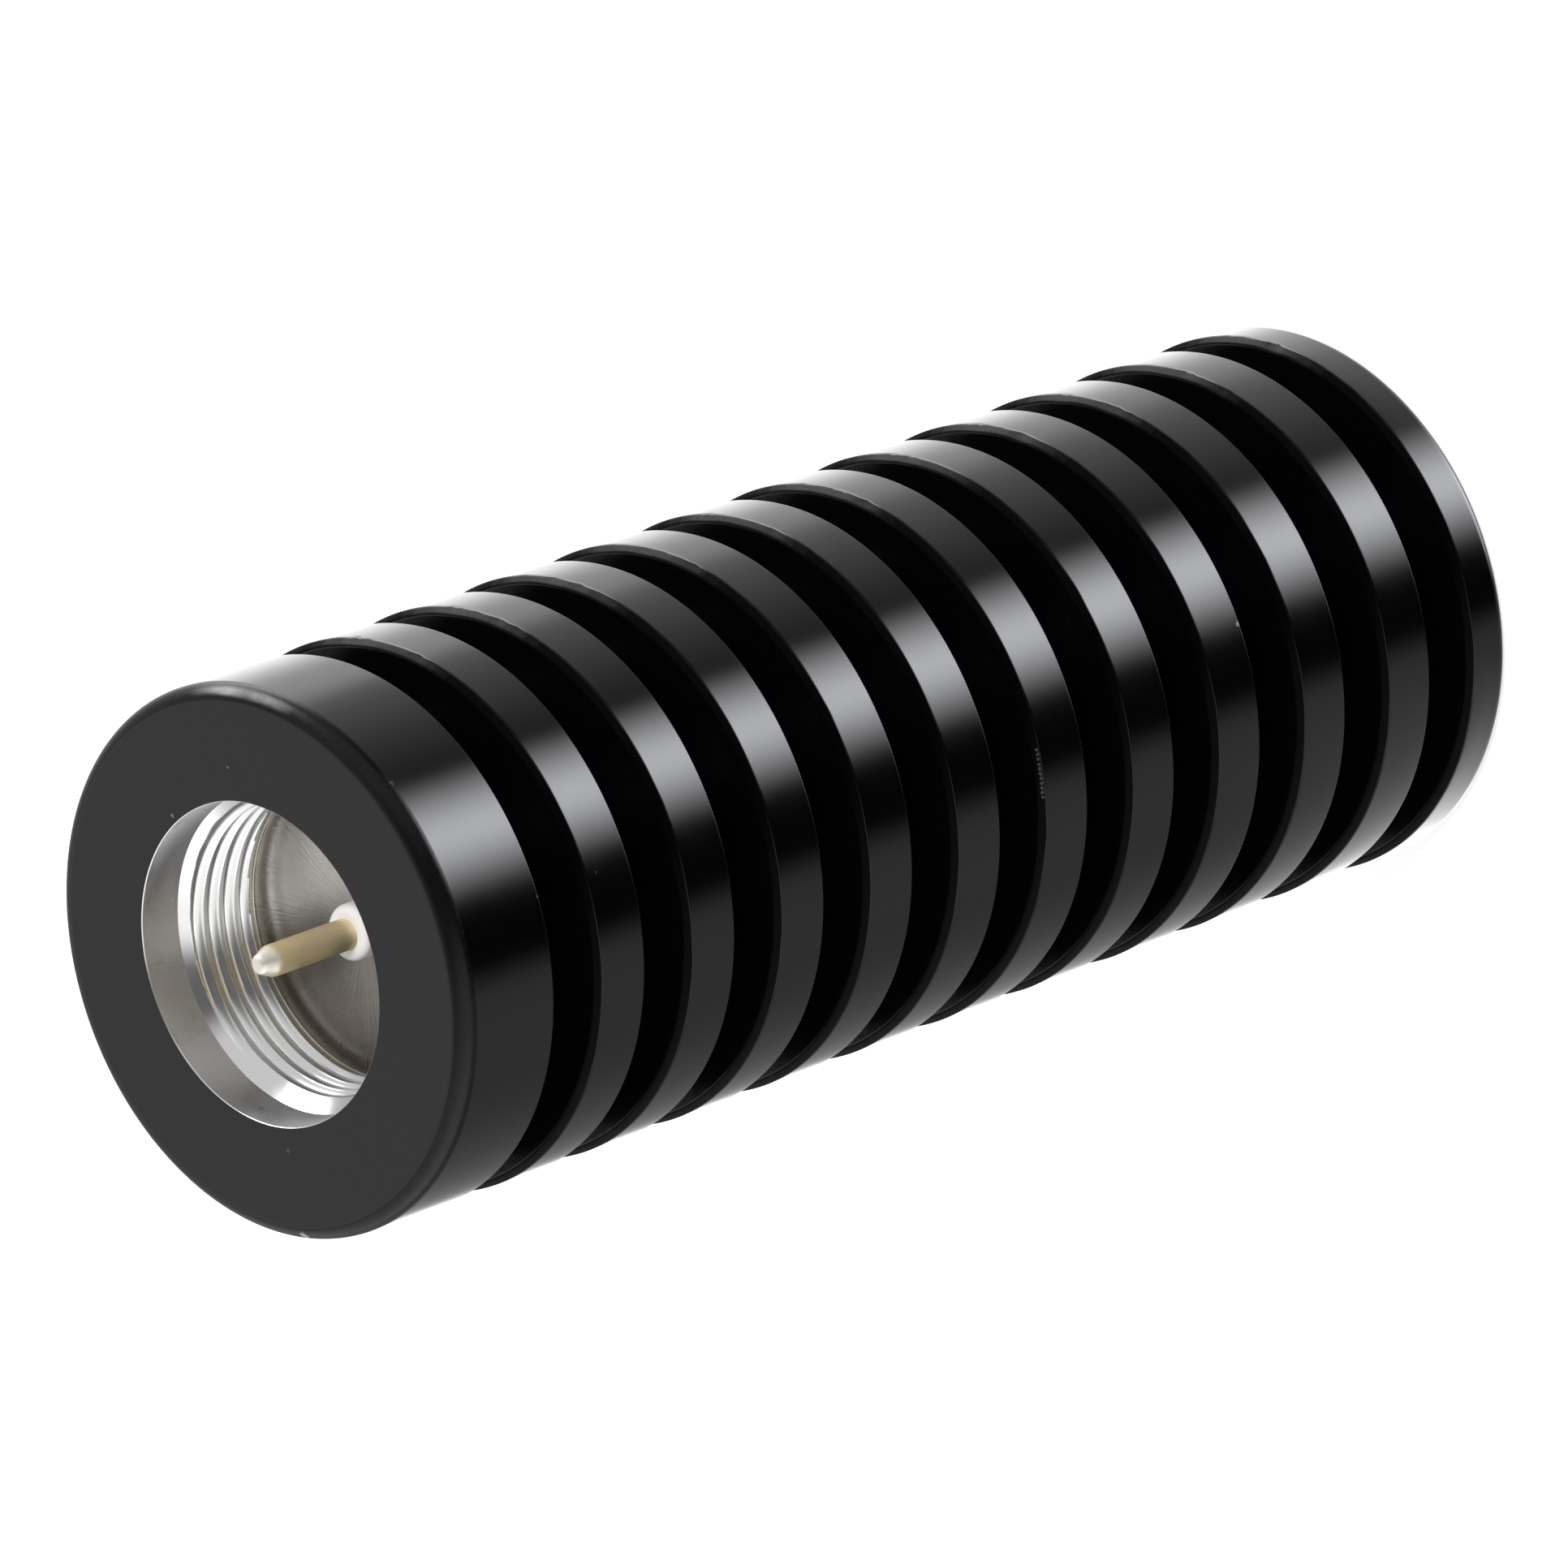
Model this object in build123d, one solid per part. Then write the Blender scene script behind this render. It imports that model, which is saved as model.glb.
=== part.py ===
from build123d import *
import os

# Dry coaxial dummy load. A finned aluminium bar has a threaded socket turned into its front end,
# with the contact pin inside it, and holds a film resistor in a chamber behind the socket's floor.
# It stands on its closed rear end: the axis is +Z, the mouth looks up, and the origin is the
# centre of the rear face. Sizes are in millimetres.

# Housing, outside
outside_diameter = 28.0
collar_length = 6.15
fin_count = 10
fin_thickness = 3.25
groove_width = 3.0
groove_depth = 4.0
end_disc_thickness = 2.85
collar_edge_radius = 0.65
fin_edge_bevel = 0.3
end_edge_radius = 0.65

# Housing, socket. The thread is 5/8-24 UNEF, and its plain wall here is the thread's crest.
thread_major_diameter = 15.875
thread_pitch = 25.4 / 24
thread_height_per_pitch = 0.5413
thread_length = 3.3
mouth_clearance = 0.24
mouth_length = 2.45
mouth_bevel = 0.15
relief_depth = 0.385
relief_length = 0.64
floor_thickness = 2.4

# Contact pin and its insulators
pin_diameter = 1.6
pin_stand_out = 0.2
pin_tip_diameter = 0.7
pin_tip_length = 0.9
pin_neck_diameter = 1.2
pin_collar_diameter = 2.6
pin_collar_thickness = 1.0
pin_tail_diameter = 1.2
pin_tail_length = 3.0
bush_flange_diameter = 3.0
bush_flange_thickness = 1.3
bush_edge_radius = 0.3
bush_barrel_diameter = 2.36
inner_bead_thickness = 2.4

# Load resistor
rod_diameter = 4.0
cap_wall = 0.5
cap_grip = 2.5
front_cap_web = 0.8
rear_cap_web = 2.5

# Return conductor. An air line is 50 ohm where the bore is 2.3 times the conductor in it.
line_ratio = 2.3
sleeve_wall = 0.73
taper_end_gap = 0.4
taper_step_length = 1.0

# Rear contact, spring and plug
contact_base_thickness = 1.2
finger_thickness = 0.5
finger_count = 6
finger_slot_width = 0.5
finger_slot_stop = 0.6
spring_hole_diameter = 5.6
spring_thickness = 0.45
spring_height = 0.9
spigot_length = 0.9
plug_seat_width = 1.5
plug_thickness = 3.0
plug_bevel = 0.15

# Clearances on the radius: slip fits, bores that are pressed or soldered on, and the room that
# the plug's spigot and the spring have in the chamber. Then the room at a blind end.
slip_clearance = 0.02
press_clearance = 0.01
spigot_clearance = 0.3
spring_clearance = 0.75
end_clearance = 0.2

# Places along the axis, from the rear face up
pitch = fin_thickness + groove_width
housing_length = end_disc_thickness + fin_count * pitch + groove_width + collar_length
thread_crest_diameter = thread_major_diameter - 2 * thread_height_per_pitch * thread_pitch
mouth_diameter = thread_major_diameter + 2 * mouth_clearance
chamfer_length = (mouth_diameter - thread_crest_diameter) / 2
socket_depth = mouth_length + chamfer_length + thread_length + relief_length
floor_z = housing_length - socket_depth
chamber_top_z = floor_z - floor_thickness
bush_face_z = floor_z + bush_flange_thickness
bead_rear_z = chamber_top_z - inner_bead_thickness
tail_bore_depth = pin_tail_length + end_clearance
rod_top_z = bead_rear_z - tail_bore_depth - front_cap_web
front_cap_rear_z = rod_top_z - cap_grip
spring_rear_z = plug_thickness + spigot_length
contact_rear_z = spring_rear_z + spring_height
contact_face_z = contact_rear_z + contact_base_thickness
rod_bottom_z = contact_face_z + rear_cap_web
rear_cap_top_z = rod_bottom_z + cap_grip

# Diameters and lengths that follow from fits
relief_diameter = thread_crest_diameter + 2 * relief_depth
cap_diameter = rod_diameter + 2 * cap_wall
chamber_fit_diameter = cap_diameter * line_ratio + 2 * sleeve_wall
chamber_diameter = chamber_fit_diameter + 2 * slip_clearance
spigot_diameter = chamber_diameter - 2 * spigot_clearance
spring_diameter = chamber_diameter - 2 * spring_clearance
plug_diameter = chamber_diameter + 2 * plug_seat_width
finger_outside = cap_diameter + 2 * slip_clearance + 2 * finger_thickness
finger_length = rear_cap_top_z - contact_face_z


def turned(*points):
    """A turned solid from its half section, given as (radius, height) corners."""
    with BuildPart() as part:
        with BuildSketch(Plane.XZ):
            with BuildLine():
                Polyline(*points, close=True)
            make_face()
        revolve(axis=Axis.Z)
    return part.part


def circles(part, diameter, *heights):
    """The part's round edges of one diameter at the given heights."""
    return [
        edge
        for edge in part.edges().filter_by(GeomType.CIRCLE)
        if abs(edge.radius - diameter / 2) < 1e-4
        and any(abs(edge.center(CenterOf.BOUNDING_BOX).Z - height) < 1e-4 for height in heights)
    ]


def fin_front_heights():
    """Heights of the front edges of the end disc and of each fin."""
    return [end_disc_thickness + index * pitch for index in range(fin_count + 1)]


def finned_housing():
    """Turned bar: collar, fins and end disc, socket in front, load chamber open at the rear."""
    rim = outside_diameter / 2
    root = rim - groove_depth
    crest = thread_crest_diameter / 2
    relief = relief_diameter / 2
    bush_hole = bush_barrel_diameter / 2 + press_clearance
    chamber = chamber_diameter / 2
    relief_top_z = floor_z + relief_length
    thread_top_z = relief_top_z + thread_length
    outside = []
    for front_z in fin_front_heights():
        rear_z = front_z - (end_disc_thickness if front_z == end_disc_thickness else fin_thickness)
        outside += [(rim, rear_z), (rim, front_z), (root, front_z), (root, front_z + groove_width)]
    outside += [(rim, housing_length - collar_length), (rim, housing_length)]
    socket = [
        (mouth_diameter / 2, housing_length),
        (mouth_diameter / 2, housing_length - mouth_length),
        (crest, thread_top_z),
        (crest, relief_top_z),
        (relief, relief_top_z),
        (relief, floor_z),
        (bush_hole, floor_z),
        (bush_hole, chamber_top_z),
    ]
    load_chamber = [
        (chamber, chamber_top_z),
        (chamber, plug_thickness),
        (plug_diameter / 2, plug_thickness),
        (plug_diameter / 2, 0),
    ]
    body = turned(*outside, *socket, *load_chamber)
    body = fillet(circles(body, outside_diameter, housing_length), collar_edge_radius)
    body = fillet(circles(body, outside_diameter, 0), end_edge_radius)
    body = chamfer(circles(body, outside_diameter, *fin_front_heights()), fin_edge_bevel)
    body = chamfer(circles(body, mouth_diameter, housing_length), mouth_bevel)
    return chamfer(circles(body, plug_diameter, 0), plug_bevel)


def centre_pin():
    """Contact pin: coned tip, shank, neck through both insulators, collar and soldered tail."""
    tip_z = housing_length + pin_stand_out
    collar_front_z = bead_rear_z + pin_collar_thickness
    return turned(
        (0, bead_rear_z - pin_tail_length),
        (pin_tail_diameter / 2, bead_rear_z - pin_tail_length),
        (pin_tail_diameter / 2, bead_rear_z),
        (pin_collar_diameter / 2, bead_rear_z),
        (pin_collar_diameter / 2, collar_front_z),
        (pin_neck_diameter / 2, collar_front_z),
        (pin_neck_diameter / 2, bush_face_z),
        (pin_diameter / 2, bush_face_z),
        (pin_diameter / 2, tip_z - pin_tip_length),
        (pin_tip_diameter / 2, tip_z),
        (0, tip_z),
    )


def pin_insulator():
    """Flanged bush: the barrel fills the hole in the socket's floor, the flange lies on it."""
    neck_bore = pin_neck_diameter / 2 + press_clearance
    bush = turned(
        (neck_bore, chamber_top_z),
        (bush_barrel_diameter / 2, chamber_top_z),
        (bush_barrel_diameter / 2, floor_z),
        (bush_flange_diameter / 2, floor_z),
        (bush_flange_diameter / 2, bush_face_z),
        (neck_bore, bush_face_z),
    )
    return fillet(circles(bush, bush_flange_diameter, bush_face_z), bush_edge_radius)


def inner_bead():
    """Insulating disc behind the socket's floor, counterbored for the pin's collar."""
    neck_bore = pin_neck_diameter / 2 + press_clearance
    collar_bore = pin_collar_diameter / 2 + slip_clearance
    collar_seat_z = bead_rear_z + pin_collar_thickness
    return turned(
        (neck_bore, chamber_top_z),
        (neck_bore, collar_seat_z),
        (collar_bore, collar_seat_z),
        (collar_bore, bead_rear_z),
        (chamber_fit_diameter / 2, bead_rear_z),
        (chamber_fit_diameter / 2, chamber_top_z),
    )


def front_cap():
    """Cap soldered on the front of the resistor, bored in front for the pin's tail."""
    tail_bore = pin_tail_diameter / 2 + press_clearance
    rod_bore = rod_diameter / 2 + press_clearance
    return turned(
        (0, rod_top_z),
        (rod_bore, rod_top_z),
        (rod_bore, front_cap_rear_z),
        (cap_diameter / 2, front_cap_rear_z),
        (cap_diameter / 2, bead_rear_z),
        (tail_bore, bead_rear_z),
        (tail_bore, bead_rear_z - tail_bore_depth),
        (0, bead_rear_z - tail_bore_depth),
    )


def resistor_rod():
    """Ceramic rod that carries the resistive film, from cap to cap."""
    return turned(
        (0, rod_bottom_z),
        (rod_diameter / 2, rod_bottom_z),
        (rod_diameter / 2, rod_top_z),
        (0, rod_top_z),
    )


def rear_cap():
    """Cap soldered on the rear of the resistor."""
    rod_bore = rod_diameter / 2 + press_clearance
    return turned(
        (0, contact_face_z),
        (cap_diameter / 2, contact_face_z),
        (cap_diameter / 2, rear_cap_top_z),
        (rod_bore, rear_cap_top_z),
        (rod_bore, rod_bottom_z),
        (0, rod_bottom_z),
    )


def return_sleeve():
    """Return conductor: plain bore round the front cap, then a taper down to the rear contact."""
    outside = chamber_fit_diameter / 2
    front_bore = cap_diameter * line_ratio / 2
    taper_top = rod_diameter * line_ratio / 2
    taper_bottom = cap_diameter / 2 + taper_end_gap
    finger_bore = finger_outside / 2 + slip_clearance
    return turned(
        (finger_bore, contact_face_z),
        (outside, contact_face_z),
        (outside, bead_rear_z),
        (front_bore, bead_rear_z),
        (front_bore, front_cap_rear_z),
        (taper_top, front_cap_rear_z - taper_step_length),
        (taper_bottom, rear_cap_top_z + end_clearance),
        (finger_bore, rear_cap_top_z + end_clearance),
    )


def rear_contact():
    """Spring contact: a base disc with a ring of slotted fingers that grips the rear cap."""
    finger_bore = cap_diameter / 2 + slip_clearance
    contact = turned(
        (0, contact_rear_z),
        (chamber_fit_diameter / 2, contact_rear_z),
        (chamber_fit_diameter / 2, contact_face_z),
        (finger_outside / 2, contact_face_z),
        (finger_outside / 2, rear_cap_top_z),
        (finger_bore, rear_cap_top_z),
        (finger_bore, contact_face_z),
        (0, contact_face_z),
    )
    slot_length = finger_length - finger_slot_stop
    slot_z = contact_face_z + finger_slot_stop + slot_length / 2
    for index in range(finger_count):
        turn = Rotation(0, 0, 360 * index / finger_count)
        place = Pos((finger_bore + finger_outside / 2) / 2, 0, slot_z)
        contact -= turn * place * Box(2 * finger_thickness, finger_slot_width, slot_length)
    return contact


def disc_spring():
    """Coned spring washer between the plug's spigot and the rear contact."""
    inner = spring_hole_diameter / 2
    outer = spring_diameter / 2
    return turned(
        (outer, spring_rear_z),
        (outer, spring_rear_z + spring_thickness),
        (inner, contact_rear_z),
        (inner, contact_rear_z - spring_thickness),
    )


def rear_plug():
    """Plain plug pressed into the rear end, flush, with a spigot that backs the spring."""
    disc = plug_diameter / 2 - slip_clearance
    plug = turned(
        (0, 0),
        (disc, 0),
        (disc, plug_thickness),
        (spigot_diameter / 2, plug_thickness),
        (spigot_diameter / 2, spring_rear_z),
        (0, spring_rear_z),
    )
    return chamfer(circles(plug, 2 * disc, 0), plug_bevel)


os.makedirs("parts", exist_ok=True)
pieces = [
    finned_housing,
    centre_pin,
    pin_insulator,
    inner_bead,
    front_cap,
    resistor_rod,
    rear_cap,
    return_sleeve,
    rear_contact,
    disc_spring,
    rear_plug,
]
for piece in pieces:
    export_step(piece(), f"parts/{piece.__name__}.step")
print(f"Length {housing_length:.2f}, rod {rod_top_z - rod_bottom_z:.2f}, socket {socket_depth:.2f}")
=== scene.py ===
import bmesh
import bpy
from math import atan2, ceil, cos, floor, hypot, pi, radians, sin, tau
from mathutils import Matrix, Vector, noise


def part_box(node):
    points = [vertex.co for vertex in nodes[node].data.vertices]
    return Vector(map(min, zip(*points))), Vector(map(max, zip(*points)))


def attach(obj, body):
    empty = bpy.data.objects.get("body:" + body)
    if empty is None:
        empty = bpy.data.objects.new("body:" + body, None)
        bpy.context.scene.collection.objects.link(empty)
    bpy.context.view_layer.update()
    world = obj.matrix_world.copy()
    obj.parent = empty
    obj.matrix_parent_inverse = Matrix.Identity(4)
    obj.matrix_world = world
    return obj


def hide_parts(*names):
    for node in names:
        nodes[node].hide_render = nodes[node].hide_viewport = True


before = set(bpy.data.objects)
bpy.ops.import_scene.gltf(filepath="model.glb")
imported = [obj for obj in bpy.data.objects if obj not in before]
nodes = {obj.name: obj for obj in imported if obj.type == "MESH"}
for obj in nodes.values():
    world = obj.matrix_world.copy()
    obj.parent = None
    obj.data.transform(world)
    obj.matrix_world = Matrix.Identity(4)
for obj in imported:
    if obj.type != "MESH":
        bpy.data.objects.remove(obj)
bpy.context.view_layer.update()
MM = 0.001

# Finned housing. One bar of aluminium, turned all over: a collar, ten fins and an end disc outside,
# the socket in the front end and the chamber for the load in the rear end. It was anodised black
# before the socket was cut, so the socket's plain mouth, its thread and its floor are bare metal.

housing_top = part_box("finned_housing")[1]
outside_radius = housing_top.x / MM
length = housing_top.z / MM
bush_flange_thickness = 1.3
bush_face_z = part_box("pin_insulator")[1].z / MM
floor_z = bush_face_z - bush_flange_thickness
chamber_top_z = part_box("inner_bead")[1].z / MM
collar_length = 6.15
end_disc_thickness = 2.85
fin_count = 10
fin_thickness = 3.25
groove_width = 3.0
groove_depth = 4.0
groove_root_radius = 0.12
collar_rounding = 0.9
end_rounding = 0.65
fin_bevel = 0.3
fin_bevel_softness = 0.3
rear_edge_break = 0.06
mouth_radius = 8.1775
mouth_length = 2.45
mouth_rounding = 0.08
crest_radius = 7.365
root_radius = 7.75
thread_pitch = 25.4 / 24
thread_crest_width = 0.06
thread_steps = 24
relief_length = 0.64
corner_rounding = 0.12
bush_hole_radius = 1.19
chamber_radius = 6.5
plug_seat_radius = 8.0
plug_seat_depth = 3.0
plug_seat_bevel = 0.15
thread_top_z = length - mouth_length
relief_top_z = floor_z + relief_length
housing_columns = 200
arc_steps_per_millimetre = 8
arc_margin = 0.02
crisp_edge = radians(32)
tolerance = 0.001
weld_distance = 0.0001


def half_section(*corners):
    """Points of a turned outline through (radius, height, rounding) corners, roundings as arcs.

    A point just outside each end of an arc keeps the shading of the flats beside it flat.
    """
    points = []
    for index, (radius, height, rounding) in enumerate(corners):
        here = Vector((radius, height))
        if not rounding:
            points.append(here)
            continue
        steps = 2 + round(rounding * arc_steps_per_millimetre)
        back = (Vector(corners[index - 1][:2]) - here).normalized()
        ahead = (Vector(corners[(index + 1) % len(corners)][:2]) - here).normalized()
        half_angle = back.angle(ahead) / 2
        centre = here + (back + ahead).normalized() * (rounding / sin(half_angle))
        reach = rounding * cos(half_angle) / sin(half_angle)
        start = here + back * reach - centre
        end = here + ahead * reach - centre
        points.append(here + back * (reach + arc_margin))
        points += [centre + start.slerp(end, step / steps) * rounding for step in range(steps + 1)]
        points.append(here + ahead * (reach + arc_margin))
    return points


def soften(mesh):
    """Smooth shading, with real edges kept crisp."""
    mesh.shade_smooth()
    mesh.set_sharp_from_angle(angle=crisp_edge)


def turned(name, outline, columns, form=None, ends="joined"):
    """A mesh spun round the axis from an outline in millimetres. form(point, turn) may move points."""
    verts = []
    for point in outline:
        for column in range(columns):
            turn = tau * column / columns
            radius, height = form(point, turn) if form else point
            verts.append((radius * cos(turn) * MM, radius * sin(turn) * MM, height * MM))
    rows = len(outline)
    faces = []
    for row in range(rows if ends == "joined" else rows - 1):
        low = row * columns
        high = (row + 1) % rows * columns
        for column in range(columns):
            beside = (column + 1) % columns
            faces.append((low + column, low + beside, high + beside, high + column))
    if ends == "capped":
        faces.append(tuple(reversed(range(columns))))
        faces.append(tuple(range((rows - 1) * columns, rows * columns)))
    mesh = bpy.data.meshes.new(name)
    mesh.from_pydata(verts, [], faces)
    soften(mesh)
    piece = bpy.data.objects.new(name, mesh)
    bpy.context.scene.collection.objects.link(piece)
    return piece


def housing_outline():
    """The bar's half section: down the socket and the chamber, then up the outside to the thread."""
    rim = outside_radius
    root = rim - groove_depth
    corners = [
        (root_radius, relief_top_z, 0),
        (root_radius, floor_z, corner_rounding),
        (bush_hole_radius, floor_z, 0),
        (bush_hole_radius, chamber_top_z, 0),
        (chamber_radius, chamber_top_z, 0),
        (chamber_radius, plug_seat_depth, 0),
        (plug_seat_radius, plug_seat_depth, 0),
        (plug_seat_radius, plug_seat_bevel, 0),
        (plug_seat_radius + plug_seat_bevel, 0, 0),
        (rim, 0, end_rounding),
    ]
    front_z = end_disc_thickness
    for _ in range(fin_count + 1):
        corners += [
            (rim, front_z - fin_bevel, fin_bevel_softness),
            (rim - fin_bevel, front_z, fin_bevel_softness),
            (root, front_z, groove_root_radius),
            (root, front_z + groove_width, groove_root_radius),
            (rim, front_z + groove_width, rear_edge_break),
        ]
        front_z += groove_width + fin_thickness
    corners += [
        (rim, length, collar_rounding),
        (mouth_radius, length, mouth_rounding),
        (mouth_radius, thread_top_z, 0),
    ]
    return half_section(*corners)


edge_wander = 0.06
wander_down_rim = 2
wander_over_face = 1.5
wander_closeness = 9
wander_layer = 3
edge_chips = 0.4
chip_closeness = 38
chip_layer = 5
chipped_turn = radians(338)
chips_gathered = 30


def lumps_round(turn, closeness, layer):
    """Noise of 0 and more round the axis. Another layer gives another pattern."""
    return max(noise.noise(Vector((cos(turn) * closeness, sin(turn) * closeness, layer))), 0)


def hand_broken(point, turn):
    """Lets the fins' front bevels wander a few bevel widths down the rim and in over the face."""
    radius, height = point
    pitch = groove_width + fin_thickness
    below_front = (end_disc_thickness - height + tolerance) % pitch
    on_rim = below_front <= wander_down_rim * fin_bevel
    near_rim = radius >= outside_radius - wander_over_face * fin_bevel
    if not (on_rim and near_rim) or height > length - collar_length:
        return radius, height
    fin = round((height + below_front - end_disc_thickness) / pitch)
    wander = edge_wander * lumps_round(turn, wander_closeness, fin * wander_layer)
    chip = edge_chips * lumps_round(turn, chip_closeness, fin * chip_layer)
    chip *= max(cos(turn - chipped_turn), 0) ** chips_gathered
    down_rim = min(below_front / fin_bevel, 1)
    from_face = min(max((radius - outside_radius) / fin_bevel + wander_over_face, 0), 1)
    return radius - wander * (1 - down_rim) * from_face, height - (wander + chip) * down_rim


def cut_thread(piece):
    """Fills the open stretch of the socket's wall with the thread, in rows that climb its helix."""
    form = bmesh.new()
    form.from_mesh(piece.data)
    first = floor(relief_top_z / thread_pitch - 1) * thread_steps
    last = ceil(thread_top_z / thread_pitch) * thread_steps
    grid = {}
    for row in range(first, last + thread_steps + 1):
        from_middle = abs((row / thread_steps + 0.5) % 1 - 0.5) * thread_pitch
        from_crest = max(from_middle - thread_crest_width / 2, 0)
        up_flank = 1 - from_crest / (thread_pitch - thread_crest_width) * 2
        thread_radius = root_radius - up_flank ** 3 * (root_radius - crest_radius)
        for column in range(housing_columns):
            turn = tau * column / housing_columns
            climb = thread_pitch * (row / thread_steps + column / housing_columns)
            height = min(max(climb, relief_top_z), thread_top_z)
            chamfer = mouth_radius - (thread_top_z - height)
            radius = root_radius if climb < relief_top_z else max(thread_radius, chamfer)
            place = (radius * cos(turn) * MM, radius * sin(turn) * MM, height * MM)
            grid[row, column] = form.verts.new(place)
    for row in range(first, last):
        for column in range(housing_columns):
            round_once = column == housing_columns - 1
            beside = (row + thread_steps, 0) if round_once else (row, column + 1)
            above = (row + 1, column)
            above_beside = (beside[0] + 1, beside[1])
            form.faces.new([grid[corner] for corner in ((row, column), above, above_beside, beside)])
    bmesh.ops.remove_doubles(form, verts=form.verts, dist=weld_distance * MM)
    loose = [vert for vert in form.verts if not vert.link_faces]
    bmesh.ops.delete(form, geom=loose, context="VERTS")
    form.to_mesh(piece.data)
    form.free()
    soften(piece.data)


def links_of(material):
    """The material's node tree and its shader."""
    material.use_nodes = True
    tree = material.node_tree
    return tree, tree.nodes["Principled BSDF"]


def node(tree, kind, operation=None, inputs=()):
    """Adds a node, links or sets its inputs in order, and returns its first output."""
    made = tree.nodes.new("ShaderNode" + kind)
    if operation:
        made.operation = operation
    for socket, value in zip(made.inputs, inputs):
        if isinstance(value, bpy.types.NodeSocket):
            tree.links.new(value, socket)
        else:
            socket.default_value = value
    return made.outputs[0]


def maths(tree, operation, *values):
    """Works one value out of others. More than two are taken one after another, as in a long sum."""
    if len(values) > 2:
        values = (maths(tree, operation, *values[:-1]), values[-1])
    return node(tree, "Math", operation, values)


def ranged(tree, value, low, high, start, end):
    """Takes a value's stretch from low to high over to the stretch from start to end."""
    return node(tree, "MapRange", inputs=(value, low, high, start, end))


def measured(tree, operation, place, other=None):
    """A number taken from one or two places: a length, a distance or a dot product."""
    measure = tree.nodes.new("ShaderNodeVectorMath")
    measure.operation = operation
    tree.links.new(place, measure.inputs[0])
    if other:
        measure.inputs[1].default_value = other
    return measure.outputs["Value"]


def split(tree, place):
    """The X, Y and Z of a place."""
    parts = tree.nodes.new("ShaderNodeSeparateXYZ")
    tree.links.new(place, parts.inputs[0])
    return parts.outputs


def lathe_height(tree):
    """The place, and a value that climbs across every turned face: the height plus the radius."""
    place = tree.nodes.new("ShaderNodeTexCoord").outputs["Object"]
    x, y, z = split(tree, place)
    across = measured(tree, "LENGTH", node(tree, "CombineXYZ", inputs=(x, y, 0.0)))
    return place, maths(tree, "ADD", z, across)


def cloud(tree, place, size, detail=4):
    """Soft noise whose lumps measure about size millimetres."""
    lumps = tree.nodes.new("ShaderNodeTexNoise")
    lumps.inputs["Scale"].default_value = 1 / (size * MM)
    lumps.inputs["Detail"].default_value = detail
    tree.links.new(place, lumps.inputs["Vector"])
    return lumps.outputs[0]


def lines_across(tree, along, scale, detail):
    """Noise that changes with one value only, and so draws lines across it."""
    lines = tree.nodes.new("ShaderNodeTexNoise")
    lines.noise_dimensions = "1D"
    lines.inputs["Scale"].default_value = scale
    lines.inputs["Detail"].default_value = detail
    tree.links.new(along, lines.inputs["W"])
    return lines.outputs[0]


def raised(tree, shader, relief, height):
    """Lets the relief stand up from the surface by a height in millimetres."""
    bump = tree.nodes.new("ShaderNodeBump")
    bump.inputs["Strength"].default_value = 1
    bump.inputs["Distance"].default_value = height * MM
    tree.links.new(relief, bump.inputs["Height"])
    tree.links.new(bump.outputs[0], shader.inputs["Normal"])


def turning_marks(tree, shader, along, per_millimetre, height):
    """The fine rings that a turning tool leaves."""
    raised(tree, shader, lines_across(tree, along, per_millimetre / MM, detail=3), height)


def between(tree, value, low, high):
    """Spreads noise, which is mostly 0.3 to 0.7, over low to high."""
    return ranged(tree, value, 0.3, 0.7, low, high)


def mixed(tree, factor, first, second):
    """Mixes two colours by a factor. Each is a plain colour or comes from another node."""
    mix = tree.nodes.new("ShaderNodeMix")
    mix.data_type = "RGBA"
    tree.links.new(factor, mix.inputs["Factor"])
    for socket, colour in ((mix.inputs["A"], first), (mix.inputs["B"], second)):
        if isinstance(colour, bpy.types.NodeSocket):
            tree.links.new(colour, socket)
        else:
            socket.default_value = (*colour, 1)
    return mix.outputs["Result"]


def paint(tree, shader, colour, roughness):
    """Gives the shader its colour and roughness."""
    tree.links.new(colour, shader.inputs["Base Color"])
    tree.links.new(roughness, shader.inputs["Roughness"])


quarter_turn = 0.25


def gloss_round(tree, shader, strength):
    """Lets the gloss run round the axis, as it does on turned metal."""
    shader.inputs["Anisotropic"].default_value = strength
    shader.inputs["Anisotropic Rotation"].default_value = quarter_turn
    tangent = tree.nodes.new("ShaderNodeTangent")
    tangent.direction_type = "RADIAL"
    tangent.axis = "Z"
    tree.links.new(tangent.outputs[0], shader.inputs["Tangent"])


nick_colour = (0.4, 0.38, 0.36)
nick_raggedness = 0.12
nick_spread = 1.6
nicks = (
    (163.5, 13.75, 74.3, 0.30, 0.9),
    (295.9, 13.95, 73.6, 0.20, 0.06),
    (344.3, 9.9, 74.5, 0.09, 0.2),
    (16.0, 8.6, 74.5, 0.14, 0.25),
    (163.6, 9.35, 74.5, 0.12, 0.1),
    (342.4, 14.0, 70.2, 0.24, 0.03),
    (268.5, 14.0, 18.45, 0.16, 0.4),
    (264.3, 14.0, 68.4, 0.12, 0.1),
    (264.8, 14.0, 64.3, 0.10, 0.05),
    *((degrees, 13.93, 33.9, 0.11, 0.1) for degrees in range(248, 259)),
)


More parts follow.
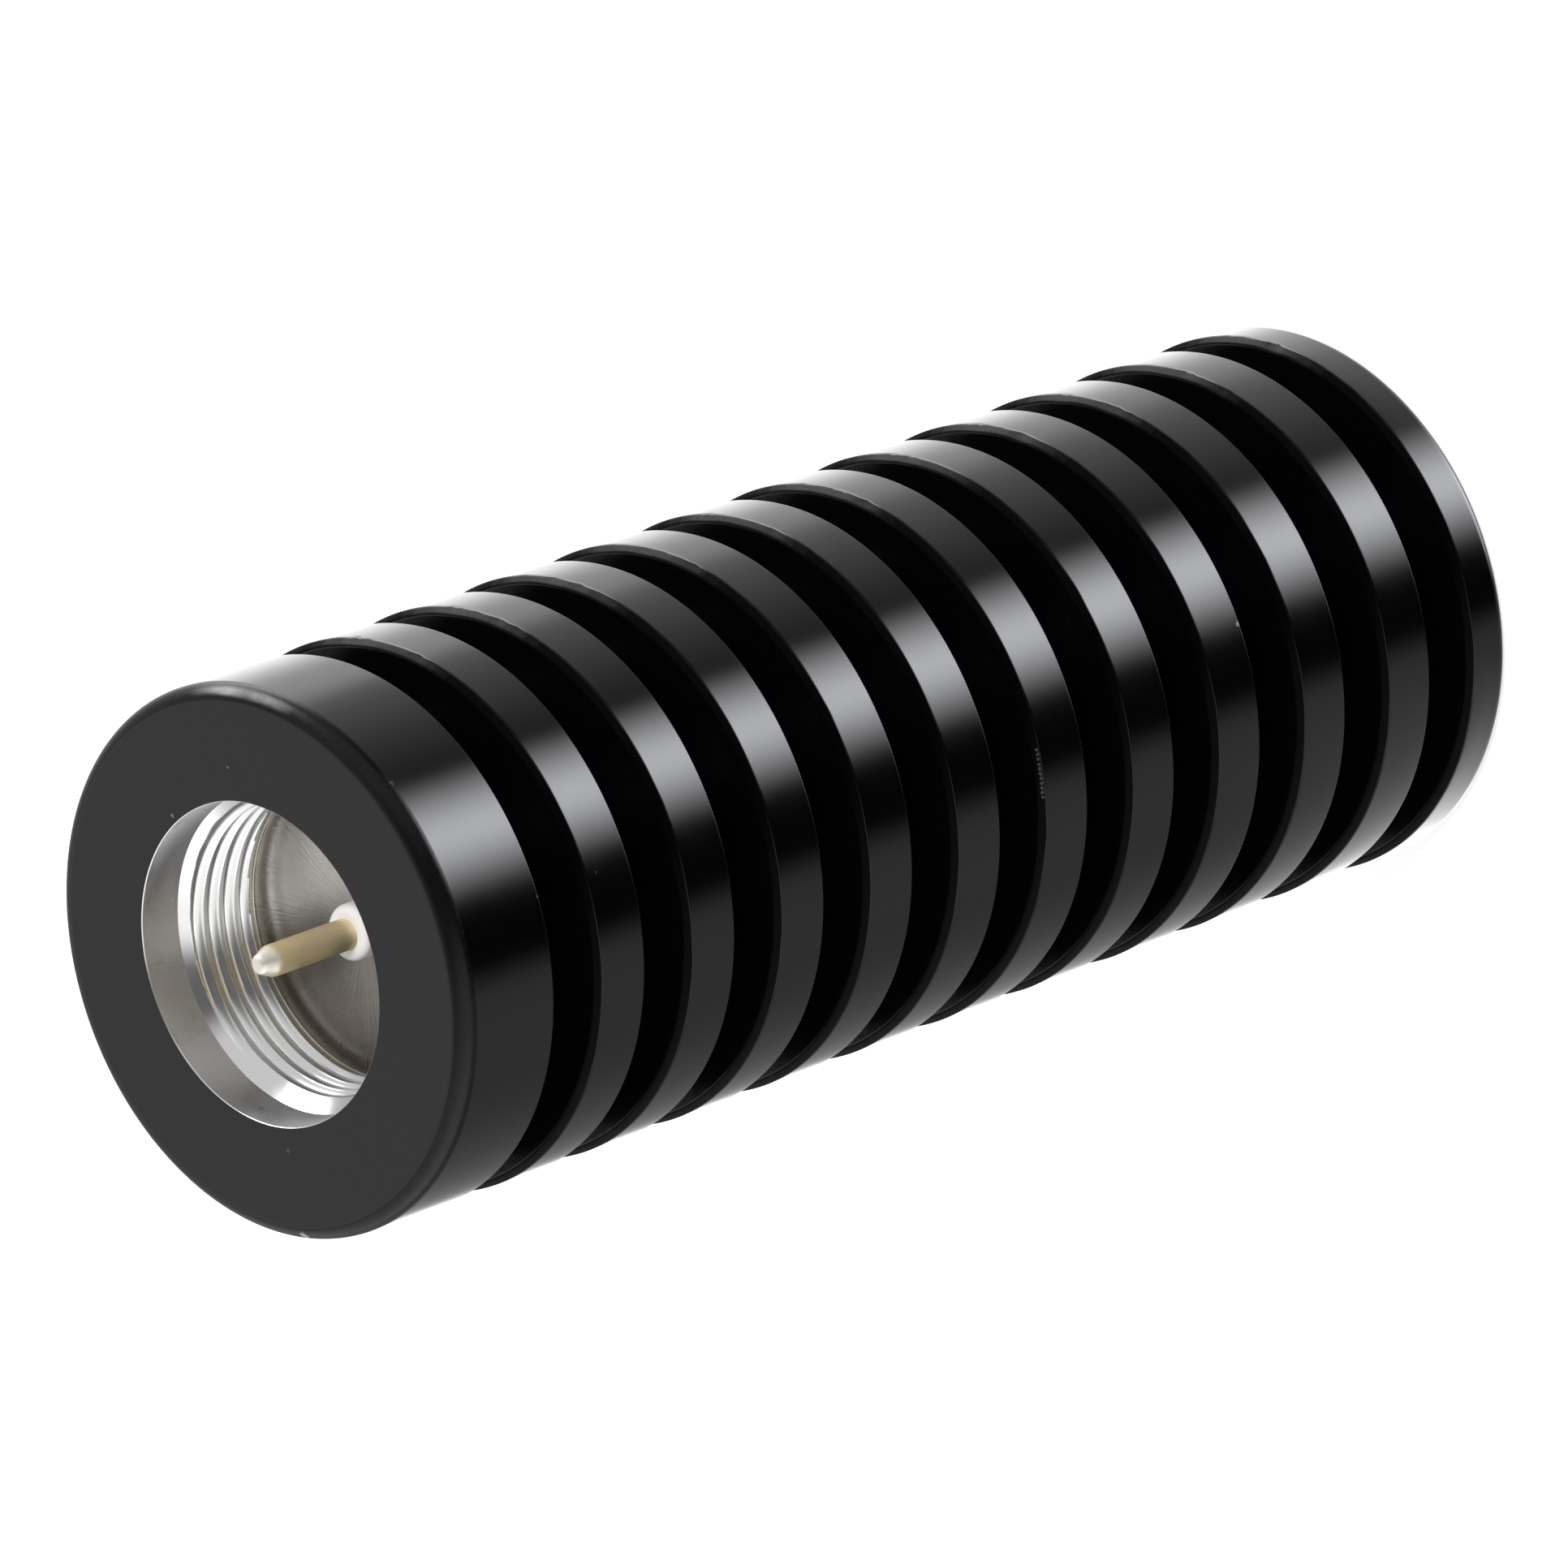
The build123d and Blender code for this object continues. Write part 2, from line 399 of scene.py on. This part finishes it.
def nicked(tree, place, dye):
    """Metal that shows where the oxide was hit: degrees round, radius, height, size, how bare."""
    ragged = cloud(tree, place, nick_raggedness)
    bare = None
    for degrees, radius, height, size, bareness in nicks:
        turn = radians(degrees)
        spot = (radius * cos(turn) * MM, radius * sin(turn) * MM, height * MM)
        reach = maths(tree, "MULTIPLY", ragged, nick_spread * size * MM)
        inside = maths(tree, "LESS_THAN", measured(tree, "DISTANCE", place, spot), reach)
        inside = maths(tree, "MULTIPLY", inside, bareness)
        bare = maths(tree, "MAXIMUM", bare, inside) if bare else inside
    return mixed(tree, bare, dye, nick_colour)


def black_anodised():
    """Dyed oxide on turned aluminium: nearly black, satin, with fine rings under the gloss."""
    material = bpy.data.materials.new("black anodised aluminium")
    tree, shader = links_of(material)
    place, along = lathe_height(tree)
    dye = mixed(tree, cloud(tree, place, 0.25), (0.0005, 0.0005, 0.0006), (0.0011, 0.0011, 0.0013))
    roughness = between(tree, cloud(tree, place, 1.5), 0.16, 0.18)
    paint(tree, shader, nicked(tree, place, dye), roughness)
    turning_marks(tree, shader, along, 9, 0.0005)
    shader.inputs["Specular IOR Level"].default_value = 0.5
    gloss_round(tree, shader, 0.6)
    return material


def bevel_black(name, gloss):
    """The same oxide on the fins' edges, which were broken by hand: quite black, as glossy as given."""
    material = bpy.data.materials.new(name)
    tree, shader = links_of(material)
    place, _ = lathe_height(tree)
    grain = cloud(tree, place, 0.2)
    dye = mixed(tree, grain, (0.0005, 0.0005, 0.0006), (0.0008, 0.0008, 0.0009))
    paint(tree, shader, nicked(tree, place, dye), between(tree, grain, 0.24, 0.34))
    shader.inputs["Specular IOR Level"].default_value = gloss
    return material


# Painted highlight on the collar's rounding, where the side light shines on it: its grey, where it lies
# round the axis and how far it reaches from the face.
painted_highlight_colour = (0.26, 0.26, 0.27)
painted_highlight_turn = radians(338)
painted_highlight_reach = radians(15)
painted_highlight_full_reach = radians(5)
painted_highlight_bottom = 0.5
painted_highlight_full_bottom = 0.3
painted_highlight_full_top = 0.16
painted_highlight_top = 0.07
streaks_round_per_millimetre = 0.8
streaks_across_per_millimetre = 9


def edge_with_painted_highlight():
    """The oxide on the collar's rounding: duller than the face, with a grey painted highlight, in
    streaks, on one stretch.
    """
    material = bpy.data.materials.new("black anodised edge")
    tree, shader = links_of(material)
    place, along = lathe_height(tree)
    x, y, z = split(tree, place)
    grain = cloud(tree, place, 0.2)
    dye = mixed(tree, grain, (0.0012, 0.0012, 0.0014), (0.0018, 0.0018, 0.0020))
    turn = maths(tree, "ARCTAN2", y, x)
    aside = maths(tree, "ABSOLUTE", maths(tree, "SUBTRACT", turn, painted_highlight_turn - tau))
    along_edge = ranged(tree, aside, painted_highlight_reach, painted_highlight_full_reach, 0.0, 1.0)
    from_face = maths(tree, "SUBTRACT", length * MM, z)
    below_face = ranged(tree, from_face, painted_highlight_bottom * MM, painted_highlight_full_bottom * MM, 0.0, 1.0)
    off_face = ranged(tree, from_face, painted_highlight_top * MM, painted_highlight_full_top * MM, 0.0, 1.0)
    streak_place = node(tree, "CombineXYZ", inputs=(
        maths(tree, "MULTIPLY", turn, outside_radius * streaks_round_per_millimetre),
        maths(tree, "MULTIPLY", along, streaks_across_per_millimetre / MM),
        0.0,
    ))
    streaks = between(tree, cloud(tree, streak_place, 1 / MM), 0.3, 1.0)
    # Painted highlight: grey on the stretch of the rounding that faces the side light.
    painted_highlight = maths(tree, "MULTIPLY", along_edge, below_face, off_face, streaks)
    colour = mixed(tree, painted_highlight, nicked(tree, place, dye), painted_highlight_colour)
    paint(tree, shader, colour, between(tree, grain, 0.24, 0.34))
    shader.inputs["Specular IOR Level"].default_value = 0.26
    return material


def bare_aluminium(name, tone, roughness, rings_per_millimetre, ring_height):
    """Fresh turned aluminium, bright, with tool rings and a little haze."""
    material = bpy.data.materials.new(name)
    tree, shader = links_of(material)
    place, along = lathe_height(tree)
    haze = cloud(tree, place, 1.2, detail=1)
    dull = (tone - 0.02, tone - 0.02, tone - 0.02)
    bright = (tone + 0.02, tone + 0.02, tone + 0.03)
    colour = mixed(tree, haze, dull, bright)
    paint(tree, shader, colour, between(tree, haze, roughness - 0.03, roughness + 0.05))
    turning_marks(tree, shader, along, rings_per_millimetre, ring_height)
    shader.inputs["Metallic"].default_value = 1
    gloss_round(tree, shader, 0.5)
    return material


# Half the width, in millimetres, of the change from the floor's darker half to its paler half.
darker_half_edge = 3
scratch_closeness = 30
scratch_depth = 0.02


def faced_floor():
    """The socket's faced floor: duller and browner than its wall, finely scratched from the pin out."""
    material = bpy.data.materials.new("faced aluminium")
    tree, shader = links_of(material)
    place, _ = lathe_height(tree)
    x, y, _ = split(tree, place)
    haze = cloud(tree, place, 1.6)
    # The floor is browner and darker on its -X half and paler grey on its +X half, changing softly
    # across the middle.
    film = mixed(tree, haze, (0.32, 0.29, 0.26), (0.42, 0.39, 0.35))
    paler_half = mixed(tree, haze, (0.54, 0.52, 0.49), (0.70, 0.68, 0.65))
    colour = mixed(tree, ranged(tree, x, -darker_half_edge * MM, darker_half_edge * MM, 0.0, 1.0), film, paler_half)
    paint(tree, shader, colour, between(tree, haze, 0.2, 0.3))
    scratches = lines_across(tree, maths(tree, "ARCTAN2", y, x), scratch_closeness, detail=5)
    raised(tree, shader, scratches, scratch_depth)
    shader.inputs["Metallic"].default_value = 1
    return material


def shaded_relief():
    """The relief at the foot of the thread, a recess with painted shade: a dim brown grey."""
    material = bpy.data.materials.new("stained aluminium")
    tree, shader = links_of(material)
    place, _ = lathe_height(tree)
    # Painted shade in the recess: the colour is a dim brown grey, mottled by this noise.
    film = cloud(tree, place, 1.0)
    colour = mixed(tree, film, (0.52, 0.49, 0.43), (0.66, 0.63, 0.57))
    paint(tree, shader, colour, between(tree, film, 0.2, 0.35))
    shader.inputs["Metallic"].default_value = 1
    return material


housing_finishes = (
    black_anodised(),
    bare_aluminium("socket aluminium", 0.89, 0.18, 12, 0.0006),
    faced_floor(),
    shaded_relief(),
    edge_with_painted_highlight(),
    bare_aluminium("mouth aluminium", 0.82, 0.3, 3, 0.0006),
    bevel_black("dull bevel", 0.04),
    # Glossier copies of the bevel black, for the stretch where the side light glints on the fins'
    # edges: a painted glint.
    bevel_black("half glinting bevel", 0.07),
    bevel_black("glinting bevel", 0.11),
)
anodised, fresh_cut, faced, shaded, highlighted_edge, plain_mouth, dull_bevel = range(7)
level_from = 0.97
collar_edge_from = 0.08
bevel_from = 0.4
rear_edge_from = 0.12
margin = 0.01
wall_margin = 0.05
# Where round the axis the bevels are glossier for the painted glint, and how far in from its ends the
# gloss steps up again.
glint_from = radians(317)
glint_to = radians(357)
glint_fade = radians(4)


def finish_at(face):
    """The finish of a face of the bar, from where it lies and how far up it looks."""
    across = hypot(face.center.x, face.center.y) / MM
    height = face.center.z / MM
    upward = face.normal.z
    if across > outside_radius - collar_rounding:
        if height > length - collar_rounding:
            # The rounding's finish carries the painted highlight.
            return highlighted_edge if collar_edge_from < upward < level_from else anodised
        on_rear_edge = upward < -rear_edge_from and height > end_rounding
        on_edge = bevel_from < upward < level_from or on_rear_edge
        if not on_edge or height > length - collar_length + rear_edge_break:
            return anodised
        # On the stretch where the side light glints, the bevels take the glossier copies: a painted
        # glint.
        turn = atan2(face.center.y, face.center.x) % tau
        inside = min(turn - glint_from, glint_to - turn)
        return dull_bevel + (inside > 0) + (inside > glint_fade)
    if across > mouth_radius + wall_margin:
        return anodised
    if across > mouth_radius - wall_margin and height > thread_top_z:
        return plain_mouth
    # The relief at the thread's foot takes the finish with painted shade.
    if height > chamber_top_z and across > root_radius - corner_rounding and height < relief_top_z:
        return shaded
    if across < root_radius - corner_rounding and abs(height - floor_z) < margin:
        return faced
    in_socket = height > chamber_top_z - margin
    return fresh_cut if in_socket or across < plug_seat_radius else anodised


housing = turned(
    "housing_finned", housing_outline(), housing_columns, form=hand_broken, ends="open"
)
cut_thread(housing)
for finish in housing_finishes:
    housing.data.materials.append(finish)
for face in housing.data.polygons:
    face.material_index = finish_at(face)
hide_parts("finned_housing")
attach(housing, "root")

# Centre pin. Turned from brass and gold plated: a blunt coned tip, a plain shank, a thinner neck
# through both insulators, a collar that can't be pulled forward and a tail soldered in the cap.

pin_bottom, pin_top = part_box("centre_pin")
bead_rear_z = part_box("inner_bead")[0].z / MM
pin_tip_z = pin_top.z / MM
pin_tail_z = pin_bottom.z / MM
pin_radius = 0.8
pin_nose_radius = 0.42
pin_nose_length = 0.9
pin_nose_z = pin_tip_z - pin_nose_length
pin_neck_radius = 0.6
pin_collar_radius = 1.3
pin_collar_thickness = 1.0
pin_collar_z = bead_rear_z + pin_collar_thickness
pin_edge_rounding = 0.05
pin_shoulder_rounding = 0.02
pin_cone_rounding = 0.8
pin_tip_rounding = 0.3
pin_end_radius = 0.02
pin_columns = 48
# Painted highlight on the nose: its near-white colour and how softly it starts.
nose_highlight_colour = (0.93, 0.88, 0.78)
nose_highlight_fade = 0.1
# Painted shade on the pin's underside next to the bush: its dark olive, and how far from the bush it
# fades out.
shaded_gold = (0.42, 0.36, 0.20)
shade_top = 2.2
shade_full_top = 0.6


def gold_plate():
    """Thin gold over brass: satin from use, painted nearly white on the nose for its highlights, with
    painted shade under it next to the bush.
    """
    material = bpy.data.materials.new("gold plated brass")
    tree, shader = links_of(material)
    place, along = lathe_height(tree)
    x, _, z = split(tree, place)
    haze = cloud(tree, place, 0.6)
    from_nose = maths(tree, "SUBTRACT", z, pin_nose_z * MM)
    from_bush = maths(tree, "SUBTRACT", z, bush_face_z * MM)
    # Painted highlight: the nose goes nearly white.
    nose_highlight = ranged(tree, from_nose, -nose_highlight_fade * MM, nose_highlight_fade * MM, 0.0, 1.0)
    near_bush = ranged(tree, from_bush, shade_top * MM, shade_full_top * MM, 0.0, 1.0)
    underside = ranged(tree, x, 0.1 * MM, -0.5 * MM, 0.0, 1.0)
    gold = mixed(tree, haze, (0.95, 0.77, 0.46), (1.0, 0.86, 0.56))
    # Painted shade: dark olive on the pin's underside close to the bush.
    gold = mixed(tree, maths(tree, "MULTIPLY", near_bush, underside), gold, shaded_gold)
    paint(tree, shader, mixed(tree, nose_highlight, gold, nose_highlight_colour), between(tree, haze, 0.36, 0.5))
    turning_marks(tree, shader, along, 20, 0.0008)
    shader.inputs["Metallic"].default_value = 0.85
    return material


pin = turned(
    "pin_centre",
    half_section(
        (pin_end_radius, pin_tail_z, 0),
        (pin_neck_radius, pin_tail_z, pin_edge_rounding),
        (pin_neck_radius, bead_rear_z, 0),
        (pin_collar_radius, bead_rear_z, pin_edge_rounding),
        (pin_collar_radius, pin_collar_z, pin_edge_rounding),
        (pin_neck_radius, pin_collar_z, 0),
        (pin_neck_radius, bush_face_z, 0),
        (pin_radius, bush_face_z, pin_shoulder_rounding),
        (pin_radius, pin_nose_z, pin_cone_rounding),
        (pin_nose_radius, pin_tip_z, pin_tip_rounding),
        (pin_end_radius, pin_tip_z, 0),
    ),
    pin_columns,
    ends="capped",
)
pin.data.materials.append(gold_plate())
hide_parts("centre_pin")
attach(pin, "root")

# Pin insulator. A white fluoropolymer bush: the barrel is pressed into the hole in the socket's
# floor and the flange lies on the floor. It is soft, so its edge is round and its face uneven.

bush_flange_radius = 1.5
bush_barrel_radius = 1.18
bush_bore_radius = 0.61
bush_rounding = 0.42
bush_foot_rounding = 0.1
bush_bore_rounding = 0.05
bush_unevenness = 0.05
bulge_shift = 0.6
bush_columns = 64


def white_insulator():
    """Waxy white fluoropolymer with a faint cream cast."""
    material = bpy.data.materials.new("white fluoropolymer")
    tree, shader = links_of(material)
    place, _ = lathe_height(tree)
    lumps = cloud(tree, place, 0.8)
    colour = mixed(tree, lumps, (0.95, 0.93, 0.88), (0.98, 0.97, 0.94))
    paint(tree, shader, colour, between(tree, lumps, 0.42, 0.55))
    raised(tree, shader, cloud(tree, place, 0.35), 0.02)
    return material


def pressed(point, turn):
    """Lets the soft flange bulge a little more on two sides than on the others."""
    radius, height = point
    if radius < bush_barrel_radius + margin:
        return radius, height
    return radius - bush_unevenness * (1 + sin(2 * turn + bulge_shift)), height


bush = turned(
    "insulator_pin",
    half_section(
        (bush_bore_radius, chamber_top_z, 0),
        (bush_barrel_radius, chamber_top_z, 0),
        (bush_barrel_radius, floor_z, 0),
        (bush_flange_radius, floor_z, bush_foot_rounding),
        (bush_flange_radius, bush_face_z, bush_rounding),
        (bush_bore_radius, bush_face_z, bush_bore_rounding),
    ),
    bush_columns,
    form=pressed,
)
bush.data.materials.append(white_insulator())
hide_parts("pin_insulator")
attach(bush, "root")

# Load stack, closed up in the chamber: the inner bead, the resistor rod between its two caps, the
# return sleeve round it, and the slotted contact with the coned spring that presses it all forward.


def resistive_film():
    """Dull grey film fired on a ceramic rod."""
    material = bpy.data.materials.new("film on ceramic")
    tree, shader = links_of(material)
    place, _ = lathe_height(tree)
    speckle = cloud(tree, place, 0.3)
    colour = mixed(tree, speckle, (0.10, 0.11, 0.10), (0.20, 0.21, 0.19))
    paint(tree, shader, colour, between(tree, speckle, 0.5, 0.7))
    return material


def bright_metal(name, dark, pale, roughness):
    """Turned or rolled metal in the colour given, with fine rings."""
    material = bpy.data.materials.new(name)
    tree, shader = links_of(material)
    place, along = lathe_height(tree)
    haze = cloud(tree, place, 1.0)
    colour = mixed(tree, haze, dark, pale)
    paint(tree, shader, colour, between(tree, haze, roughness, roughness + 0.1))
    turning_marks(tree, shader, along, 10, 0.001)
    shader.inputs["Metallic"].default_value = 1
    return material


silver_plate = bright_metal("silver plated brass", (0.70, 0.69, 0.66), (0.80, 0.79, 0.77), 0.25)
stack_materials = {
    "inner_bead": bush.data.materials[0],
    "front_cap": silver_plate,
    "resistor_rod": resistive_film(),
    "rear_cap": silver_plate,
    "return_sleeve": bare_aluminium("sleeve aluminium", 0.89, 0.25, 12, 0.001),
    "rear_contact": bright_metal("spring bronze", (0.62, 0.40, 0.22), (0.74, 0.52, 0.32), 0.3),
    "disc_spring": bright_metal("spring steel", (0.42, 0.42, 0.43), (0.55, 0.55, 0.56), 0.3),
}
for name, material in stack_materials.items():
    nodes[name].data.materials.clear()
    nodes[name].data.materials.append(material)

# Rear plug. A plain aluminium disc, faced and anodised with the bar, pressed flush into the rear
# end. Its spigot backs the spring, and a small bevel round its edge leaves a fine ring in the face.

plug_radius = 7.98
plug_thickness = 3.0
spigot_radius = 6.2
spigot_length = 0.9
spigot_z = plug_thickness + spigot_length
plug_edge_rounding = 0.03
spigot_rounding = 0.1
plug_centre_radius = 0.05
plug_columns = 128

plug = turned(
    "plug_rear",
    half_section(
        (plug_centre_radius, 0, 0),
        (plug_radius - plug_seat_bevel, 0, plug_edge_rounding),
        (plug_radius, plug_seat_bevel, plug_edge_rounding),
        (plug_radius, plug_thickness, 0),
        (spigot_radius, plug_thickness, 0),
        (spigot_radius, spigot_z, spigot_rounding),
        (plug_centre_radius, spigot_z, 0),
    ),
    plug_columns,
    ends="capped",
)
plug.data.materials.append(housing_finishes[anodised])
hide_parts("rear_plug")
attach(plug, "root")

# Table top. Wide white board that the object stands on. It shows white to the camera and keeps the
# object's soft shadow. Gloss sees the board glow close round the object, and past that the studio.

table_reach = 2.0
board_mottle = 40
table_camera_glow = 0.6
table_glow = 4.8
table_glow_limit = 4.0
nearest_gap = 0.1
table_far_side = (-0.574, 0.819, 0.0)
far_side_dark_until = 0.3
table_near_side = (-0.966, 0.259, 0.0)
near_side_dark_until = 0.2
near_side_focus = 1.5
near_side_share = 0.85
near_side_fades_from = 8
near_side_ends = 22
other_side_share = 0.085
other_side_from = 2
other_side_full_from = 8

table = bpy.data.objects.new("table", bpy.data.meshes.new("table"))
table_corners = [
    (side * table_reach, end * table_reach, 0) for side, end in ((-1, -1), (1, -1), (1, 1), (-1, 1))
]
table.data.from_pydata(table_corners, [], [(0, 1, 2, 3)])
bpy.context.scene.collection.objects.link(table)
table_paint = bpy.data.materials.new("white board")
tree, shader = links_of(table_paint)
place = tree.nodes.new("ShaderNodeTexCoord").outputs["Object"]
board = mixed(tree, cloud(tree, place, board_mottle), (0.80, 0.80, 0.80), (0.82, 0.82, 0.82))
tree.links.new(board, shader.inputs["Base Color"])
shader.inputs["Roughness"].default_value = 0.9
shader.inputs["Specular IOR Level"].default_value = 0.1
shader.inputs["Emission Color"].default_value = (1, 1, 1, 1)
rays = tree.nodes.new("ShaderNodeLightPath").outputs
camera_glow = maths(tree, "MULTIPLY", rays["Is Camera Ray"], table_camera_glow)
tree.links.new(camera_glow, shader.inputs["Emission Strength"])
from_axis = measured(tree, "LENGTH", place)
gap = maths(tree, "SUBTRACT", from_axis, outside_radius * MM)
gap = maths(tree, "MAXIMUM", gap, nearest_gap * MM)
fade = maths(tree, "MINIMUM", maths(tree, "DIVIDE", table_glow * MM, gap), table_glow_limit)


def lit_from(side, dark_until):
    """The share of the glow at a place: 1 straight towards the side, 0 from the given cosine on."""
    cosine = maths(tree, "DIVIDE", measured(tree, "DOT_PRODUCT", place, side), from_axis)
    return ranged(tree, cosine, dark_until, 1.0, 0.0, 1.0)


far_side = lit_from(table_far_side, far_side_dark_until)
near_side = lit_from(table_near_side, near_side_dark_until)
near_side = maths(tree, "POWER", near_side, near_side_focus)
fading = ranged(tree, gap, near_side_fades_from * MM, near_side_ends * MM, near_side_share, 0.0)
near_side = maths(tree, "MULTIPLY", near_side, fading)
across_board = split(tree, place)["X"]
other_side = ranged(
    tree, across_board, other_side_from * MM, other_side_full_from * MM, 0.0, other_side_share
)
lit = maths(tree, "MAXIMUM", far_side, near_side, other_side)
near_glow = tree.nodes.new("ShaderNodeEmission")
tree.links.new(maths(tree, "MULTIPLY", fade, lit), near_glow.inputs["Strength"])
mirrored = tree.nodes.new("ShaderNodeAddShader")
tree.links.new(node(tree, "BsdfTransparent"), mirrored.inputs[0])
tree.links.new(near_glow.outputs[0], mirrored.inputs[1])
by_ray = tree.nodes.new("ShaderNodeMixShader")
tree.links.new(rays["Is Glossy Ray"], by_ray.inputs[0])
tree.links.new(shader.outputs[0], by_ray.inputs[1])
tree.links.new(mirrored.outputs[0], by_ray.inputs[2])
tree.links.new(by_ray.outputs[0], tree.nodes["Material Output"].inputs["Surface"])
table.data.materials.append(table_paint)

# Studio. Bright wall on one side, dark room on the camera's side with one tall soft light and two
# small side lights in it, and a pale ground. Up and ahead are as for the object lying down.

studio_up = (0.883, -0.469, 0.0)
studio_ahead = (0.327, 0.614, -0.718)
ground_strength = 0.636
ground_gain = 0.27
ground_dimmed_to = 0.66
room_strength = 0.68
wall_strength = 0.58
left_wall_gain = 0.34
far_left_wall_gain = 0.5
right_wall_gain = -0.08
front_strength = 0.12
glow_strength = 0.85
wide_glow_focus = 8.0
narrow_glow_focus = 60.0
far_edge_side = (0.0, 0.739, -0.674)
far_edge_strength = 5.5
far_edge_focus = 100.0
soft_light_side = (0.920, 0.391, 0.0)
soft_light_front = (0.375, -0.927, 0.0)
soft_light_half_width = 0.37
soft_light_strength = 9.6
side_light_edge = (0.93, 0.975)
side_light_side = (0.919, 0.335, 0.208)
side_light_strength = 5.0
low_side_light_side = (0.860, 0.360, -0.362)
low_side_light_strength = 3.0

world = bpy.data.worlds.new("studio")
bpy.context.scene.world = world
world.use_nodes = True
tree = world.node_tree
background = tree.nodes["Background"]
direction = tree.nodes.new("ShaderNodeTexCoord").outputs["Generated"]


def facing(towards):
    """How far the direction looks towards a side, from -1 to 1."""
    return measured(tree, "DOT_PRODUCT", direction, towards)


def ramp(value, low, high, start, end):
    """Smooth step from start to end while the value goes from low to high."""
    made = tree.nodes.new("ShaderNodeMapRange")
    made.interpolation_type = "SMOOTHSTEP"
    for socket, number in zip(list(made.inputs)[1:5], (low, high, start, end)):
        socket.default_value = number
    tree.links.new(value, made.inputs[0])
    return made.outputs[0]


def calc(operation, *values):
    """The same as maths, in the studio's own tree."""
    return maths(tree, operation, *values)


def crossed(share, first, second):
    """Goes over from the first light to the second as the share goes from 0 to 1."""
    rest = calc("MULTIPLY", first, calc("SUBTRACT", 1.0, share))
    return calc("ADD", calc("MULTIPLY", second, share), rest)


up = facing(studio_up)
ahead = facing(studio_ahead)
lift = facing((0.0, 0.0, 1.0))
behind_left = ramp(facing((-0.707, 0.707, 0.0)), 0.15, 0.65, 1.0, ground_dimmed_to)
ground = calc("ADD", calc("MULTIPLY", lift, ground_gain), ground_strength)
ground = calc("MULTIPLY", ground, behind_left)
room = ramp(ahead, 0.15, 0.85, 0.0, room_strength)
low_walls = crossed(ramp(up, -0.22, -0.01, 0.0, 1.0), ground, room)

left = ramp(facing((-1.0, 0.0, 0.0)), 0.12, 0.5, 0.0, 1.0)
far_left = ramp(facing((-1.0, 0.0, 0.0)), 0.65, 0.9, 0.0, far_left_wall_gain)
right = ramp(facing((1.0, 0.0, 0.0)), 0.2, 0.52, 0.0, 1.0)
behind = ramp(facing((0.0, 1.0, 0.0)), -0.15, 0.45, 0.0, 1.0)
beyond_front = calc("MAXIMUM", left, right, behind)
left_light = calc("ADD", calc("MULTIPLY", left, left_wall_gain), far_left)
right_light = calc("MULTIPLY", right, right_wall_gain)
wall_light = calc("ADD", left_light, right_light, wall_strength)
high_walls = calc("ADD", calc("MULTIPLY", wall_light, beyond_front), front_strength)
walls = crossed(ramp(lift, -0.3, 0.0, 0.0, 1.0), low_walls, high_walls)

forward = calc("MAXIMUM", ahead, 0.0)
wide_glow = calc("POWER", forward, wide_glow_focus)
narrow_glow = calc("POWER", forward, narrow_glow_focus)
glow = calc("MULTIPLY", calc("ADD", wide_glow, narrow_glow), glow_strength)
far_edge = calc("POWER", calc("MAXIMUM", facing(far_edge_side), 0.0), far_edge_focus)
far_edge = calc("MULTIPLY", far_edge, far_edge_strength)

beside = calc("ABSOLUTE", facing(soft_light_side))
strip = ramp(beside, 0.0, soft_light_half_width, soft_light_strength, 0.0)
front_half = ramp(facing(soft_light_front), 0.1, 0.3, 0.0, 1.0)
soft_light = calc("MULTIPLY", strip, front_half, ramp(lift, -0.45, -0.3, 1.0, 0.0))
side_light = ramp(facing(side_light_side), *side_light_edge, 0.0, side_light_strength)
low_side_light = ramp(
    facing(low_side_light_side), *side_light_edge, 0.0, low_side_light_strength
)
side_lights = calc("MAXIMUM", side_light, low_side_light)

camera_ray = tree.nodes.new("ShaderNodeLightPath").outputs["Is Camera Ray"]
strength = tree.nodes.new("ShaderNodeMix")
tree.links.new(camera_ray, strength.inputs["Factor"])
tree.links.new(calc("ADD", walls, glow, far_edge, soft_light, side_lights), strength.inputs["A"])
strength.inputs["B"].default_value = 1.0
tree.links.new(strength.outputs["Result"], background.inputs["Strength"])
bluish = ramp(soft_light, 0.5, 6.0, 0.0, 1.0)
tree.links.new(mixed(tree, bluish, (1, 1, 1), (0.94, 0.95, 1.0)), background.inputs["Color"])

key_light = bpy.data.lights.new("key light", "AREA")
key_light.shape = "SQUARE"
key_light.size = 0.5
key_light.energy = 8
key = bpy.data.objects.new("key light", key_light)
key.location = (0.45, -0.5, 0.75)
object_middle = Vector((0, 0, 0.04))
key.rotation_euler = (object_middle - key.location).to_track_quat("-Z", "Y").to_euler()
key.visible_glossy = False
bpy.context.scene.collection.objects.link(key)

# Camera. A long lens looking down at 42 degrees, rolled so that the standing object lies across the
# picture from the left, mouth first, to the upper right.

camera_distance = 1.0856
camera_elevation = radians(42.34)
camera_roll = radians(-109.66)
aim = Vector((-0.000295, 0, 0.0381))
camera_data = bpy.data.cameras.new("camera")
camera_data.lens = 502.3
camera_data.sensor_width = 36
camera_data.clip_start = 0.05
camera = bpy.data.objects.new("camera", camera_data)
camera.matrix_world = (
    Matrix.Translation(aim)
    @ Matrix.Rotation(pi / 2 - camera_elevation, 4, "X")
    @ Matrix.Translation((0, 0, camera_distance))
    @ Matrix.Rotation(camera_roll, 4, "Z")
)
bpy.context.scene.collection.objects.link(camera)
bpy.context.scene.camera = camera
bpy.context.scene.view_settings.view_transform = "Standard"
